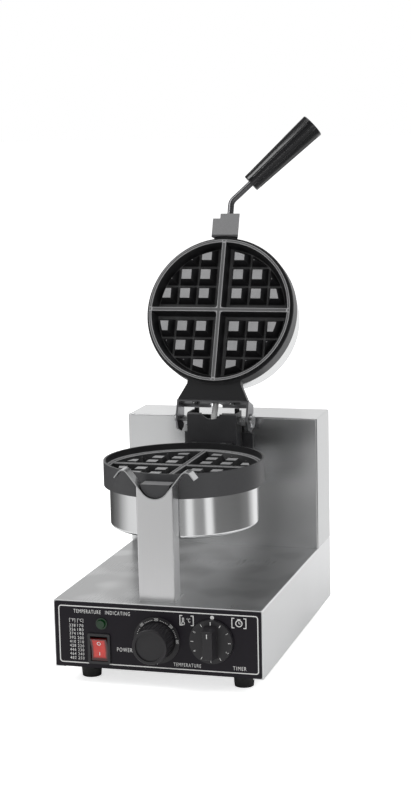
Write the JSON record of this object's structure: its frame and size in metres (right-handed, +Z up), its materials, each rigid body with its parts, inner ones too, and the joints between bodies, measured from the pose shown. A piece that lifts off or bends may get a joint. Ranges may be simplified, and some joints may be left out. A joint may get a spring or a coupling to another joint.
{
  "type": "rotating waffle maker",
  "caption": "Counter-top waffle iron with hinged round grid pans that close face to face and turn over on a rear bearing and a front saddle.",
  "frame": {"origin": "centre of the base's footprint on the surface that the feet stand on", "axes": "+Z up, +Y to the column at the back, +X to the user's right when facing the control panel"},
  "size_m": [0.25, 0.4456, 0.6433],
  "materials": {
    "brushed_stainless": "brushed sheet, fine straight grain",
    "spun_stainless": "spun sheet with bright vertical bands",
    "nonstick_iron": "cast plate with dark non-stick coat",
    "dark_steel": "dark coated folded steel",
    "zinc_steel": "bright zinc-plated fasteners",
    "bare_steel": "turned bare steel",
    "galvanised_sheet": "plain sheet",
    "panel_black": "satin black printed panel",
    "knob_black": "glossy black plastic",
    "moulding_black": "matt black plastic",
    "grip_black": "glossy black fluted phenolic grip",
    "rocker_red": "translucent red rocker",
    "lamp_green": "green lens",
    "dial_black": "satin printed ring, black with white marks",
    "terminal_white": "white moulded block",
    "sleeve_white": "white glass-fibre sleeving",
    "insulation_wool": "pressed mineral fibre disc",
    "heater_sheath": "heat-darkened tubular sheath",
    "bush_bronze": "bronze bearing bush",
    "foot_rubber": "black rubber"
  },
  "bodies": {
    "base": {"base_shell": "brushed_stainless", "column_shell": "brushed_stainless", "back_cover": "brushed_stainless", "bottom_plate": "galvanised_sheet", "panel_carrier": "galvanised_sheet", "front_panel": "panel_black", "feet": "foot_rubber", "foot_screws": "zinc_steel", "cover_screws": "zinc_steel", "cable_gland": "moulding_black", "gland_nut": "moulding_black", "terminal_block": "terminal_white", "earth_stud": "zinc_steel", "indicator_lens": "lamp_green", "indicator_body": "moulding_black", "switch_frame": "moulding_black", "thermostat_body": "galvanised_sheet", "timer_body": "galvanised_sheet", "dial_ring": "dial_black", "front_bracket": "brushed_stainless", "bracket_screws": "zinc_steel", "saddle_strip": "bare_steel", "bearing_housing": "dark_steel", "bearing_bush": "bush_bronze", "bearing_screws": "zinc_steel", "column_leads": "sleeve_white", "panel_leads": "sleeve_white"},
    "iron_lower": {"lower_grid_pan": "nonstick_iron", "lower_drum_cover": "spun_stainless", "lower_heating_element": "heater_sheath", "lower_heater_clamp": "galvanised_sheet", "lower_insulation": "insulation_wool", "lower_centre_stud": "zinc_steel", "lower_cover_nut": "zinc_steel", "lower_lead_sleeve": "sleeve_white", "hinge_box": "dark_steel", "tab_screws": "zinc_steel", "hinge_pins": "zinc_steel", "hinge_nuts": "zinc_steel", "flip_shaft": "bare_steel", "shaft_collar": "bare_steel", "lid_lead_sleeve": "sleeve_white"},
    "lid": {"lid_grid_pan": "nonstick_iron", "lid_drum_cover": "spun_stainless", "lid_heating_element": "heater_sheath", "lid_heater_clamp": "galvanised_sheet", "lid_insulation": "insulation_wool", "lid_centre_stud": "zinc_steel", "lid_cover_nut": "zinc_steel", "lid_hinge_bracket": "dark_steel", "handle_rod": "dark_steel", "handle_grip": "grip_black", "web_screws": "zinc_steel"},
    "thermostat_knob_body": {"thermostat_knob": "knob_black"},
    "timer_knob_body": {"timer_knob": "knob_black"},
    "rocker_body": {"power_rocker": "rocker_red"}
  },
  "joints": [
    {"name": "iron_flip", "type": "hinge", "parent": "base", "child": "iron_lower", "pos_m": [-0.0031, 0, 0.23805], "axis": [0, 1, 0], "range_deg": [-30, 30]},
    {"name": "lid_hinge", "type": "hinge", "parent": "iron_lower", "child": "lid", "pos_m": [-0.0031, 0.0908, 0.26565], "axis": [1, 0, 0], "range_deg": [0, 111.9], "deforming": ["lid_lead_sleeve"]},
    {"name": "thermostat_turn", "type": "hinge", "parent": "base", "child": "thermostat_knob_body", "pos_m": [0.0003, -0.182, 0.0584], "axis": [0, 1, 0], "range_deg": [0, 270]},
    {"name": "timer_turn", "type": "hinge", "parent": "base", "child": "timer_knob_body", "pos_m": [0.0655, -0.182, 0.0612], "axis": [0, 1, 0], "range_deg": [0, 300]},
    {"name": "power_rock", "type": "hinge", "parent": "base", "child": "rocker_body", "pos_m": [-0.0696, -0.178, 0.044], "axis": [-1, 0, 0], "range_deg": [0, 18]}
  ]
}
